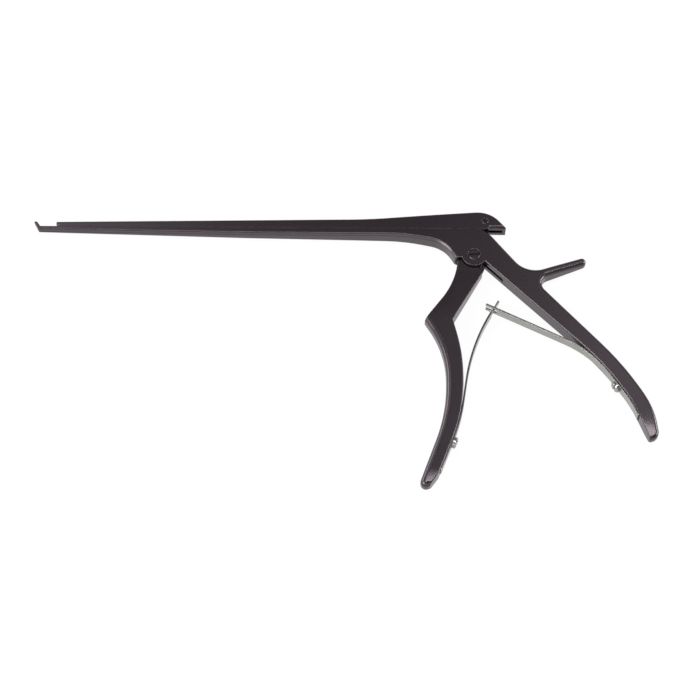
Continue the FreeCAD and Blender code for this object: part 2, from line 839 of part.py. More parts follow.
def cross_screw(doc, name, prefix, place=None):
    """Screw through the forging, with a slotted head set flush in the upper side."""
    thick = size("forging_thick")
    head_depth = size(prefix + "_head_depth")
    head_radius = size(prefix + "_head_radius")
    body = doc.addObject("PartDesign::Body", name)
    inset = size("screw_inset")
    shank = sketch_on(body, name + "Shank", (thick + inset) / 2)
    grow(body, ring(shank, size(prefix + "_radius")), thick - inset)
    head = sketch_on(body, name + "Head", thick - head_depth / 2)
    grow(body, ring(head, head_radius), head_depth)
    rim = FreeCAD.Vector(0, head_radius.number, thick.number)
    break_edges(body, "Chamfer", head_radius * 0.12, [rim])
    slot = sketch_on(body, name + "Slot", thick)
    slot.setExpression("AttachmentOffset.Rotation.Angle", SHEET + "." + prefix + "_slot_angle")
    reach = head_radius + 1
    half = size(prefix + "_slot_width") / 2
    cut(body, trace(slot, box_corners(-reach, -half, reach, half)), size("slot_depth") * 2)
    if place is not None:
        bind(body, "Placement.Base.x", place[0])
        bind(body, "Placement.Base.y", place[1])
    return body


class Run:
    """Straight stretch between two corners, with places along and beside it."""

    def __init__(self, start, end):
        self.start = start
        dx, dy = end[0] - start[0], end[1] - start[1]
        length = Size(math.hypot(dx.number, dy.number), "hypot(%s; %s)" % (dx.text, dy.text))
        self.cos, self.sin = dx / length, dy / length
        self.angle = Size(math.degrees(math.atan2(dy.number, dx.number)), "atan2(%s; %s)" % (dy.text, dx.text))

    def at(self, distance, aside=0.0):
        """Place at a distance along the stretch and to the left of it."""
        x = self.start[0] + self.cos * distance - self.sin * aside
        y = self.start[1] + self.sin * distance + self.cos * aside
        return x, y


def put(piece, place, height, angle):
    """Bind where a piece stands and how far it is turned about the vertical."""
    piece.Placement = FreeCAD.Placement(FreeCAD.Vector(0, 0, 0), FreeCAD.Rotation(FreeCAD.Vector(0, 0, 1), 1.0))
    bind(piece, "Placement.Base.x", place[0])
    bind(piece, "Placement.Base.y", place[1])
    bind(piece, "Placement.Base.z", height)
    bind(piece, "Placement.Rotation.Angle", angle)


def side_line(doc, name, corners, low):
    """Middle line of a leaf spring as an open sketch at the height of its lower edge."""
    path = doc.addObject("Sketcher::SketchObject", name)
    bind(path, "Placement.Base.z", low)
    return trace(path, corners, closed=False)


def strip(doc, name, corners, width, half_thick):
    """Strip of even thickness that follows a middle line."""
    section = doc.addObject("Part::Offset2D", name + "_section")
    section.Source = side_line(doc, name + "_line", corners, mid_plane() - width / 2)
    section.Fill = True
    bind(section, "Value", half_thick)
    piece = doc.addObject("Part::Extrusion", name)
    piece.Base = section
    piece.DirMode = "Custom"
    piece.Dir = FreeCAD.Vector(0, 0, 1)
    piece.Solid = True
    bind(piece, "LengthFwd", width)
    doc.recompute()
    return piece


def block(doc, name, run, length, low, high):
    """Box across a leaf at the free end of its first stretch, between two heights."""
    piece = doc.addObject("Part::Box", name)
    bind(piece, "Length", length + JOIN * 2)
    piece.Width = OVERRUN
    bind(piece, "Height", high - low)
    put(piece, run.at(-JOIN * 2, -OVERRUN / 2), low, run.angle)
    return piece


def turned(doc, name, profile, place, angle):
    """Round piece about its own X axis, turned to an angle in the side view."""
    body = doc.addObject("PartDesign::Body", name)
    sketch = trace(sketch_on(body, name + "Half", None), profile)
    revolve = body.newObject("PartDesign::Revolution", name + "Round")
    revolve.Profile = sketch
    revolve.ReferenceAxis = (sketch, ["H_Axis"])
    revolve.Angle = 360
    settle(body, revolve)
    put(body, place, mid_plane(), angle)
    return body


def leaf_screw(doc, name, place, angle):
    """Short screw with a slotted round head that holds a leaf spring down."""
    head = size("leaf_head_depth")
    wide = size("leaf_head_radius")
    length = size("leaf_screw_length")
    axis = size("seat_gap") * 0.0
    gap = size("seat_gap")
    profile = [
        (-length, axis, None),
        (head, axis, None),
        (head, wide * 0.82, None),
        (head * 0.72, wide, None),
        (gap, wide, None),
        (gap, size("leaf_screw_radius"), None),
        (-length, size("leaf_screw_radius"), None),
    ]
    body = turned(doc, name, profile, place, angle)
    slot = sketch_on(body, name + "Slot", None)
    half = size("leaf_slot_width") / 2
    low = head - size("leaf_slot_depth")
    cut(body, trace(slot, box_corners(low, -half, head + 1, half)))
    return body


def screw_room(doc, name, place, angle, radius, depth):
    """Round tool for the hole that a leaf screw stands in."""
    axis = size("seat_gap") * 0.0
    profile = box_corners(-depth, axis, depth * 0.0 + OVERRUN, radius)
    return turned(doc, name, profile, place, angle)


def rear_leaf_corners():
    """Middle line of the rear leaf spring, from its forked tip to its tail in the handle."""
    shift = size("leaf_lift_x"), size("leaf_lift_y")
    tail = Run(spot("inner_b"), spot("rear_end")).at(size("rear_leaf_tail"))
    low = size("inner_b_x") - shift[0], size("inner_b_y") - shift[1]
    return [
        sharp("rear_leaf_tip"),
        bent("rear_leaf_top"),
        low + (size("rear_leaf_low_bend"),),
        (tail[0] - shift[0], tail[1] - shift[1], None),
    ]


def front_leaf_corners():
    """Middle line of the front leaf spring, from its narrow tip to its end in the handle."""
    return [
        sharp("front_leaf_tip"),
        bent("front_leaf_top"),
        bent("front_leaf_low"),
        sharp("front_leaf_end"),
    ]


def less(doc, name, base, tools):
    """Take tools away from a piece one after the other; the last step carries the name."""
    for number, tool in enumerate(tools, start=1):
        last = number == len(tools)
        step = doc.addObject("Part::Cut", name if last else "%s_step_%d" % (name, number))
        step.Base = base
        step.Tool = tool
        doc.recompute()
        if step.Shape.isNull() or step.Shape.Volume >= base.Shape.Volume:
            raise RuntimeError(step.Name + " takes nothing away")
        base = step
    return base


def mount_leaf(doc, side, corners, place, angle, forging, node):
    """Channel, tapped hole and screw of one leaf spring, with the handle that takes them."""
    half = size("leaf_thick") / 2
    gap = size("seat_gap")
    channel = strip(doc, side + "_channel", corners, size("channel_width"), half + gap)
    depth = size("leaf_screw_length") + gap
    hole = screw_room(doc, side + "_tapping", place, angle, size("leaf_screw_radius") + size("screw_gap"), depth)
    handle = less(doc, node, forging, [channel, hole])
    return handle, leaf_screw(doc, side + "_spring_screw", place, angle)


def rear_spring(doc, forging):
    """Rear handle with its leaf spring: the spring ends in two prongs."""
    corners = rear_leaf_corners()
    half = size("leaf_thick") / 2
    seat = Run(corners[2][:2], corners[1][:2])
    place = seat.at(size("rear_screw_back"), half)
    angle = seat.angle + QUARTER_TURN
    frame, screw = mount_leaf(doc, "rear", corners, place, angle, forging, "fixed_frame")
    leaf = strip(doc, "rear_leaf", corners, size("leaf_width"), half)
    middle_z = mid_plane()
    gap_half = size("prong_slot_width") / 2
    first = Run(corners[0][:2], corners[1][:2])
    notch = block(doc, "prong_gap", first, size("prong_slot_length"), middle_z - gap_half, middle_z + gap_half)
    bore = screw_room(doc, "rear_leaf_bore", place, angle, size("leaf_screw_radius") + size("leaf_screw_play"),
                      size("leaf_thick") + JOIN)
    return frame, less(doc, "rear_leaf_spring", leaf, [notch, bore]), screw


def front_spring(doc, forging):
    """Front handle with its leaf spring: the spring narrows to one tongue."""
    corners = front_leaf_corners()
    half = size("leaf_thick") / 2
    seat = Run(corners[2][:2], corners[3][:2])
    place = seat.at(size("front_screw_down"), half)
    angle = seat.angle + QUARTER_TURN
    handle, screw = mount_leaf(doc, "front", corners, place, angle, forging, "front_handle")
    leaf = strip(doc, "front_leaf", corners, size("leaf_width"), half)
    middle_z = mid_plane()
    wide = size("leaf_width") / 2 + JOIN
    slim = size("leaf_tongue_width") / 2
    first = Run(corners[0][:2], corners[1][:2])
    length = size("leaf_tongue_length")
    tools = [
        block(doc, "tongue_side_low", first, length, middle_z - wide, middle_z - slim),
        block(doc, "tongue_side_high", first, length, middle_z + slim, middle_z + wide),
        screw_room(doc, "front_leaf_bore", place, angle, size("leaf_screw_radius") + size("leaf_screw_play"),
                   size("leaf_thick") + JOIN),
    ]
    return handle, less(doc, "front_leaf_spring", leaf, tools), screw


def write_nodes(doc, nodes):
    """Stop at anything that failed, then write one file for each piece."""
    doc.recompute()
    for item in doc.Objects:
        if "Invalid" in item.State or "Error" in item.State:
            raise RuntimeError(item.Name + " did not build")
    os.makedirs("parts", exist_ok=True)
    for name, node in nodes.items():
        shape = node.Shape
        if shape.isNull() or not shape.isValid() or len(shape.Solids) != 1:
            raise RuntimeError(name + " is not one sound solid")
        node.Label = name
        shape.exportStep("parts/%s.step" % name)


def main():
    """Build every piece of the instrument and write it."""
    doc = FreeCAD.newDocument("rongeur")
    add_sheet(doc)
    frame, rear_leaf, rear_screw = rear_spring(doc, frame_body(doc))
    handle, front_leaf, front_screw = front_spring(doc, handle_body(doc))
    nodes = {
        "fixed_frame": frame,
        "pivot_screw": cross_screw(doc, "pivot", "pivot"),
        "rear_leaf_spring": rear_leaf,
        "rear_spring_screw": rear_screw,
        "upper_shaft_slider": slider_body(doc),
        "drive_screw": cross_screw(doc, "drive", "drive", spot("drive")),
        "front_handle": handle,
        "front_leaf_spring": front_leaf,
        "front_spring_screw": front_screw,
    }
    write_nodes(doc, nodes)


main()
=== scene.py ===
"""Bone punch rongeur on a white table.

The shaft pair and the pistol handles are black coated, the leaf springs and their screws bare steel.
"""

import logging
import math
from dataclasses import dataclass
from enum import Enum
from typing import Any, Optional, Sequence, Union

import bmesh
import bpy
from mathutils import Matrix, Vector

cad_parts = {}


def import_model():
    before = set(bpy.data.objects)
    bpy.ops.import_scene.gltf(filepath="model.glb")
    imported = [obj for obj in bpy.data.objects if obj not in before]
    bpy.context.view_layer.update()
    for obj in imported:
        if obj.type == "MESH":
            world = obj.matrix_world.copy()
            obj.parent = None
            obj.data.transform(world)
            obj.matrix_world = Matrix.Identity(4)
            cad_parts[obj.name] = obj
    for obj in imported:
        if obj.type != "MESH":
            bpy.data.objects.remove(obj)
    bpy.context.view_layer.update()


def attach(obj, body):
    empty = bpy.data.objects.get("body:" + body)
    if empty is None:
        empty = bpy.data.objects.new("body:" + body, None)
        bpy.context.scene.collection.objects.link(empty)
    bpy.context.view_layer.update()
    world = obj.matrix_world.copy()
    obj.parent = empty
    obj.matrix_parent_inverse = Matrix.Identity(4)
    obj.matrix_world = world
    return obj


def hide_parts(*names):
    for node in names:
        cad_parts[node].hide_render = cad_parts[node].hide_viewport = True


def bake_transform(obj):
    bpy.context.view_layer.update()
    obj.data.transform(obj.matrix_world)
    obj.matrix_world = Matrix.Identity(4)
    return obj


log = logging.getLogger("rongeur")

# One millimetre in metres, the step along a leaf's middle line and the length of a face of its blank.
MM = 0.001
LINE_STEP = 1.0 * MM
CELL_LENGTH = 0.7 * MM
Number = Union[float, int]
Point = tuple[float, float]
Place = tuple[float, float, float]
Colour = tuple[float, float, float]


class Body(str, Enum):
    """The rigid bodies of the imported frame."""

    FRAME = "frame"
    SLIDER = "slider"
    TRIGGER = "trigger"


class Slot(str, Enum):
    """The material slots that the replaced nodes had."""

    BLACK_STEEL = "black_steel"
    SPRING_STEEL = "spring_steel"


class Field:
    """A number that changes over a surface, read from one output socket, with arithmetic."""

    def __init__(self, tree: bpy.types.NodeTree, socket: bpy.types.NodeSocket) -> None:
        """Wrap a socket.

        Args:
            tree: The node tree that the socket is in.
            socket: An output socket that carries a number.
        """
        self.tree = tree
        self.socket = socket

    def _math(self, operation: str, *values: Union["Field", Number]) -> "Field":
        """Add one Math node.

        Args:
            operation: The name of the Math node's operation.
            values: Its inputs, as fields or plain numbers.

        Returns:
            The node's result.
        """
        node = self.tree.nodes.new("ShaderNodeMath")
        node.operation = operation
        for slot, value in zip(node.inputs, values):
            if isinstance(value, Field):
                self.tree.links.new(value.socket, slot)
            else:
                slot.default_value = float(value)
        return Field(self.tree, node.outputs[0])

    def __add__(self, other: Union["Field", Number]) -> "Field":
        """Sum."""
        return self._math("ADD", self, other)

    def __sub__(self, other: Union["Field", Number]) -> "Field":
        """Difference."""
        return self._math("SUBTRACT", self, other)

    def __mul__(self, other: Union["Field", Number]) -> "Field":
        """Product."""
        return self._math("MULTIPLY", self, other)

    def span(self, low: Number, high: Number) -> "Field":
        """Spread a number between two limits.

        Args:
            low: The result at 0.
            high: The result at 1.

        Returns:
            The number after it is held between 0 and 1 and spread.
        """
        node = self.tree.nodes.new("ShaderNodeMapRange")
        node.clamp = True
        self.tree.links.new(self.socket, node.inputs["Value"])
        node.inputs["To Min"].default_value = float(low)
        node.inputs["To Max"].default_value = float(high)
        return Field(self.tree, node.outputs["Result"])


@dataclass
class Bench:
    """Adds nodes to the tree of one material or world.

    Attributes:
        tree: The node tree that is worked on.
    """

    tree: bpy.types.NodeTree

    def add(self, kind: str, settings: Optional[dict[str, Any]] = None, **sockets: Any) -> bpy.types.Node:
        """Add any node.

        Args:
            kind: The node's type.
            settings: Properties that are set first; stops gives the stops of a ramp.
            sockets: Values or links for its inputs, by name with _ for a space.

        Returns:
            The new node.
        """
        node = self.tree.nodes.new(kind)
        for name, value in (settings or {}).items():
            if name == "stops":
                self._stops(node, value)
            else:
                setattr(node, name, value)
        for name, value in sockets.items():
            self.feed(node.inputs[name.replace("_", " ")], value)
        return node

    def feed(self, socket: bpy.types.NodeSocket, value: Any) -> None:
        """Link a field or socket to an input, or set its value.

        Args:
            socket: The input.
            value: A field, an output socket, or a plain value.
        """
        if isinstance(value, Field):
            self.tree.links.new(value.socket, socket)
        elif isinstance(value, bpy.types.NodeSocket):
            self.tree.links.new(value, socket)
        else:
            socket.default_value = value

    def number(self, node: bpy.types.Node, output: Union[str, int] = 0) -> Field:
        """The output of a node as a field."""
        return Field(self.tree, node.outputs[output])

    @staticmethod
    def _stops(node: bpy.types.Node, stops: Sequence[tuple[float, Sequence[float]]]) -> None:
        """Set the stops of a colour ramp.

        Args:
            node: The ramp.
            stops: Place and colour of each stop.
        """
        elements = node.color_ramp.elements
        while len(elements) < len(stops):
            elements.new(0.5)
        for element, (place, colour) in zip(elements, stops):
            element.position = place
            element.color = tuple(colour) + (1.0,)

    def noise(self, place: bpy.types.NodeSocket, scale: float, detail: float = 3.0) -> Field:
        """Noise from 0 to 1, with as many lumps in a metre as scale says and detail finer layers."""
        node = self.add("ShaderNodeTexNoise", Vector=place, Scale=scale, Detail=detail)
        return self.number(node, "Fac")

    def stretched(self, place: bpy.types.NodeSocket, ratio: Sequence[float]) -> bpy.types.NodeSocket:
        """Coordinates squeezed along each axis, for marks that run in one direction."""
        return self.add("ShaderNodeMapping", Vector=place, Scale=tuple(ratio)).outputs[0]

    def blend(self, factor: Field, first: Any, second: Any) -> bpy.types.NodeSocket:
        """Mix of two colours by a field.

        Args:
            factor: Share of the second colour.
            first: A colour, plain or as an output socket.
            second: The other one.

        Returns:
            The mixed colour.
        """
        node = self.add("ShaderNodeMix", {"data_type": "RGBA"})
        self.feed(node.inputs[0], factor)
        for socket, colour in ((node.inputs[6], first), (node.inputs[7], second)):
            linked = isinstance(colour, bpy.types.NodeSocket)
            self.feed(socket, colour if linked else tuple(colour) + (1.0,))
        return node.outputs[2]


@dataclass(frozen=True)
class CoatedSteel:
    """Satin black hard coating over bead blasted stainless steel.

    Attributes:
        name: Name of the material.
        deep: Colour where the coating is darkest.
        worn: Colour where handling has polished it.
        matt: Roughness of the blasted coating.
        sleek: Roughness where it is polished.
        patches: Handled patches in a metre.
        scores: Faint lengthwise marks in a metre, side by side.
        streak: How long those marks are, against their width.
        score_share: Share of the marks in the pattern of handling.
        contrast: Limits that the pattern is spread to, so that it reaches both colours.
        grain: Blasted pits in a metre.
        grain_gloss: How far the roughness differs from pit to pit.
        score_relief: Share of the marks in the relief.
        relief: Strength of the relief.
        depth: Depth of the relief, in metres.
        reflectance: Refractive index of the coating.
        sheen: Colour of its reflections.
    """

    name: str
    deep: Colour = (0.0085, 0.0062, 0.0076)
    worn: Colour = (0.0130, 0.0098, 0.0118)
    matt: float = 0.28
    sleek: float = 0.22
    patches: float = 55.0
    scores: float = 120.0
    streak: float = 14.0
    score_share: float = 0.12
    contrast: tuple[float, float] = (-0.6, 1.6)
    grain: float = 14000.0
    grain_gloss: float = 0.05
    score_relief: float = 0.1
    relief: float = 0.08
    depth: float = 0.0075 * MM
    reflectance: float = 1.6
    sheen: Colour = (1.0, 0.86, 0.95)

    def make(self) -> bpy.types.Material:
        """Build the material.

        Returns:
            The finished material.
        """
        material = bpy.data.materials.new(self.name)
        material.use_nodes = True
        bench = Bench(material.node_tree)
        shader = material.node_tree.nodes["Principled BSDF"]
        place = bench.add("ShaderNodeTexCoord").outputs["Object"]
        cloud = bench.noise(place, self.patches, 4.0)
        marks = bench.noise(bench.stretched(place, (1.0, self.streak, self.streak)), self.scores)
        pits = bench.noise(place, self.grain, 2.0)
        handled = (cloud * (1.0 - self.score_share) + marks * self.score_share).span(*self.contrast)
        bench.feed(shader.inputs["Base Color"], bench.blend(handled, self.deep, self.worn))
        rough = handled.span(self.matt, self.sleek) + (pits - 0.5) * self.grain_gloss
        bench.feed(shader.inputs["Roughness"], rough)
        shader.inputs["IOR"].default_value = self.reflectance
        shader.inputs["Specular Tint"].default_value = self.sheen + (1.0,)
        height = pits * (1.0 - self.score_relief) + marks * self.score_relief
        bump = bench.add("ShaderNodeBump", Height=height, Strength=self.relief, Distance=self.depth)
        bench.feed(shader.inputs["Normal"], bump.outputs[0])
        return material


@dataclass(frozen=True)
class GroundSteel:
    """Bare stainless steel, ground in one direction.

    Attributes:
        name: Name of the material.
        dark: Colour in the grinding marks.
        light: Colour between them.
        low: Smallest roughness.
        high: Largest roughness.
        ratio: Squeeze of the marks along each axis.
        marks: Grinding marks in a metre, side by side.
        patches: Duller patches in a metre.
        patch_share: Share of the patches in the tone.
        contrast: Limits that the tone is spread to, so that it reaches both colours.
        relief: Strength of the relief of the marks.
        depth: Depth of that relief, in metres.
        edge: Colour of the narrow top and bottom faces of a leaf, darker as painted shade.
        middle: Height of the middle of the leaf, in metres.
        rim: Distance from it where the narrow edges start, in metres.
        rim_contrast: How quickly the painted edge shade sets in there.
    """

    name: str
    dark: Colour = (0.265, 0.260, 0.247)
    light: Colour = (0.390, 0.385, 0.368)
    low: float = 0.22
    high: float = 0.38
    ratio: tuple[float, float, float] = (1.0, 1.0, 0.06)
    marks: float = 7000.0
    patches: float = 90.0
    patch_share: float = 0.4
    contrast: tuple[float, float] = (-0.5, 1.5)
    relief: float = 0.12
    depth: float = 0.0075 * MM
    edge: Optional[Colour] = None
    middle: float = 4.0 * MM
    rim: float = 2.40 * MM
    rim_contrast: float = 40.0

    def make(self) -> bpy.types.Material:
        """Build the material.

        Returns:
            The finished material.
        """
        material = bpy.data.materials.new(self.name)
        material.use_nodes = True
        bench = Bench(material.node_tree)
        shader = material.node_tree.nodes["Principled BSDF"]
        place = bench.add("ShaderNodeTexCoord").outputs["Object"]
        marks = bench.noise(bench.stretched(place, self.ratio), self.marks)
        cloud = bench.noise(place, self.patches, 2.0)
        tone = (marks * (1.0 - self.patch_share) + cloud * self.patch_share).span(*self.contrast)
        colour = bench.blend(tone, self.dark, self.light)
        # Painted shade: the narrow top and bottom faces of the leaf, picked by height, get the darker
        # edge colour.
        if self.edge is not None:
            height = bench.number(bench.add("ShaderNodeSeparateXYZ", Vector=place), "Z")
            apart = (height - self.middle) * (1.0 / self.rim)
            edge_shade_share = ((apart * apart - 1.0) * self.rim_contrast).span(0.0, 1.0)
            colour = bench.blend(edge_shade_share, colour, self.edge)
        bench.feed(shader.inputs["Base Color"], colour)
        bench.feed(shader.inputs["Roughness"], tone.span(self.high, self.low))
        shader.inputs["Metallic"].default_value = 1.0
        bump = bench.add("ShaderNodeBump", Height=marks, Strength=self.relief, Distance=self.depth)
        bench.feed(shader.inputs["Normal"], bump.outputs[0])
        return material


@dataclass(frozen=True)
class Finishes:
    """The finishes of the instrument.

    Attributes:
        coating: Coating of the shaft pair and the handles.
        screw_coating: Coating of the pivot and drive screws.
        spring: Steel of the rear leaf, with painted shade on its narrow top and bottom faces.
        dull_spring: Steel of the front leaf, with darker painted shade on those faces.
        screw: Steel of the two spring screws.
    """

    coating: bpy.types.Material
    screw_coating: bpy.types.Material
    spring: bpy.types.Material
    dull_spring: bpy.types.Material
    screw: bpy.types.Material

    @classmethod
    def make(cls) -> "Finishes":
        """Build every finish once.

        Returns:
            The finishes.
        """
        return cls(
            coating=CoatedSteel("satin black coating").make(),
            screw_coating=CoatedSteel("satin black screw coating", matt=0.3, streak=1.0).make(),
            # Both leaves get painted shade on their narrow faces; the front leaf's is darker.
            spring=GroundSteel("ground spring steel", edge=(0.210, 0.206, 0.196)).make(),
            dull_spring=GroundSteel("spring steel with dark painted edge shade", edge=(0.115, 0.112, 0.106)).make(),
            screw=GroundSteel("turned screw steel", ratio=(1.0, 1.0, 1.0)).make(),
        )


def apply_modifiers(piece: bpy.types.Object) -> None:
    """Turn a piece and its modifiers into a plain mesh.

    Args:
        piece: The piece, which keeps its name and loses its modifiers.
    """
    bpy.context.view_layer.update()
    graph = bpy.context.evaluated_depsgraph_get()
    finished = bpy.data.meshes.new_from_object(piece.evaluated_get(graph))
    piece.modifiers.clear()
    piece.data = finished


@dataclass(frozen=True)
class Room:
    """Room whose edges stay sharp, in metres.

    Attributes:
        start: Its end towards the jaw.
        end: Its end towards the handles.
        low: Its lower limit in the side view.
        high: Its upper limit there.
        half_width: Its reach to both sides of the middle of the forging.
    """

    start: float
    end: float
    low: float
    high: float
    half_width: float

    def holds(self, place: Vector, middle: float) -> bool:
        """Whether a place is in the room, given the height of the middle of the forging."""
        along = self.start < place.x < self.end and self.low < place.y < self.high
        return along and abs(place.z - middle) < self.half_width


@dataclass(frozen=True)
class Softener:
    """Rounds the outer edges of a forging, as polishing before the coating leaves them.

    Attributes:
        width: Width of the rounding, in metres.
        seam_share: Share of it at the sliding seam.
        seam: Heights of the two faces that slide on each other, in metres.
        middle: Height of the middle of the forging, in metres.
        inside: Distance from the middle up to which edges belong to slots, in metres.
        shaft_end: Place along the shaft before which every edge is an outer one, in metres.
        rooms: The room of each rail, and that of the two cutting faces of the jaw.
        turned: Smallest turn at an edge that is rounded, in radians.
        crease: Smallest turn at an edge that still looks sharp, in radians.
        level: Largest turn between faces that count as one flat, in radians.
        merging: Distance at which corners are merged, in metres.
        steps: Faces across the rounding.
        flat_weight: How strongly wide faces stay flat in the shading.
    """

    width: float = 0.32 * MM
    seam_share: float = 0.35
    seam: tuple[float, float] = (13.4 * MM, 13.7 * MM)
    middle: float = 4.0 * MM
    inside: float = 2.2 * MM
    shaft_end: float = -30.0 * MM
    rooms: tuple[Room, ...] = (
        Room(-30.0 * MM, 14.0 * MM, 11.4 * MM, 13.45 * MM, 3.4 * MM),
        Room(-190.0 * MM, -164.0 * MM, 12.2 * MM, 13.45 * MM, 1.2 * MM),
        Room(-203.7 * MM, -194.0 * MM, 13.0 * MM, 30.0 * MM, 5.0 * MM),
    )
    turned: float = math.radians(30)
    crease: float = math.radians(34)
    level: float = math.radians(0.2)
    merging: float = 0.001 * MM
    steps: int = 3
    flat_weight: int = 90

    def soften(self, node: str, body: Body, finish: bpy.types.Material, slot: Slot) -> bpy.types.Object:
        """Make a merged copy of a CAD node with rounded outer edges.

        Args:
            node: Name of the node.
            body: The body that it rides on.
            finish: Its finish.
            slot: Its material slot; not used.

        Returns:
            The finished piece.
        """
        mesh = self._merged(bpy.data.objects[node].data)
        piece = bpy.data.objects.new(node + "_finished", mesh)
        bpy.context.scene.collection.objects.link(piece)
        rounding = piece.modifiers.new("edge", "BEVEL")
        rounding.limit_method = "WEIGHT"
        rounding.width = self.width
        rounding.segments = self.steps
        rounding.use_clamp_overlap = False
        apply_modifiers(piece)
        piece.data.shade_smooth()
        piece.data.set_sharp_from_angle(angle=self.crease)
        flats = piece.modifiers.new("flats", "WEIGHTED_NORMAL")
        flats.keep_sharp = True
        flats.weight = self.flat_weight
        apply_modifiers(piece)
        piece.data.materials.clear()
        piece.data.materials.append(finish)
        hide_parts(node)
        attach(piece, body.value)
        log.info("softened %s to %d faces", node, len(piece.data.polygons))
        return piece

    def _merged(self, source: bpy.types.Mesh) -> bpy.types.Mesh:
        """Copy a mesh with its doubles merged, its flats joined and its outer edges marked.

        Args:
            source: The mesh of the CAD node, which stays as it is.

        Returns:
            The copy.
        """
        form = bmesh.new()
        form.from_mesh(source)
        bmesh.ops.remove_doubles(form, verts=form.verts, dist=self.merging)
        bmesh.ops.dissolve_limit(form, angle_limit=self.level, verts=form.verts, edges=form.edges)
        weight = form.edges.layers.float.new("bevel_weight_edge")
        for edge in form.edges:
            edge[weight] = self._share(edge)
        mesh = bpy.data.meshes.new(source.name + "_finished")
        form.to_mesh(mesh)
        form.free()
        return mesh

    def _share(self, edge: bmesh.types.BMEdge) -> float:
        """Share of the rounding that an edge gets.

        Args:
            edge: The edge.

        Returns:
            The share, from 0 to 1.
        """
        if len(edge.link_faces) != 2 or edge.calc_face_angle_signed(0.0) < self.turned:
            return 0.0
        ends = [end.co for end in edge.verts]
        if any(end.x > self.shaft_end and abs(end.z - self.middle) < self.inside for end in ends):
            return 0.0
        if any(all(room.holds(end, self.middle) for end in ends) for room in self.rooms):
            return 0.0
        low, high = self.seam
        return self.seam_share if all(low < end.y < high for end in ends) else 1.0


def dress(node: str, material: bpy.types.Material) -> bpy.types.Object:
    """Give a CAD node its finish.

    Args:
        node: Name of the node.
        material: Its finish.

    Returns:
        The node's object.
    """
    piece = bpy.data.objects[node]
    slots = piece.data.materials
    if len(slots) == 0:
        slots.append(material)
    for index in range(len(slots)):
        slots[index] = material
    for index in range(len(piece.material_slots)):
        piece.material_slots[index].link = "OBJECT"
        piece.material_slots[index].material = material
    log.info("dressed %s in %s", node, material.name)
    return piece


@dataclass
class LeafPath:
    """Middle line of a leaf spring in the side view.

    Attributes:
        corners: Corners in millimetres with the radius at each, 0 at both ends.
        step: Length between points on an arc, in millimetres.
    """

    corners: Sequence[Place]
    step: float = 1.0

    def points(self) -> list[Vector]:
        """Points along the line.

        Returns:
            Points in metres, from the free end to the end on the handle.
        """
        found = [Vector(self.corners[0][:2])]
        for before, corner, after in zip(self.corners, self.corners[1:], self.corners[2:]):
            found += self._bend(before, corner, after)
        found.append(Vector(self.corners[-1][:2]))
        return [Vector((p.x, p.y, 0.0)) * MM for p in found]

    def _bend(self, before: Place, corner: Place, after: Place) -> list[Vector]:
        """Points on the arc that rounds one corner.

        Args:
            before: The corner before it.
            corner: The corner, with its radius.
            after: The corner after it.

        Returns:
            Points in millimetres.
        """
        tip = Vector(corner[:2])
        arriving = (tip - Vector(before[:2])).normalized()
        leaving = (Vector(after[:2]) - tip).normalized()
        side = 1.0 if arriving.x * leaving.y - arriving.y * leaving.x > 0 else -1.0
        turn = arriving.angle(leaving)
        radius = corner[2]
        first = tip - arriving * (radius * math.tan(turn / 2))
        centre = first + Vector((-arriving.y, arriving.x)) * (radius * side)
        count = max(2, int(radius * turn / self.step))
        spoke = first - centre
        return [centre + Matrix.Rotation(side * turn * i / count, 2) @ spoke for i in range(count + 1)]


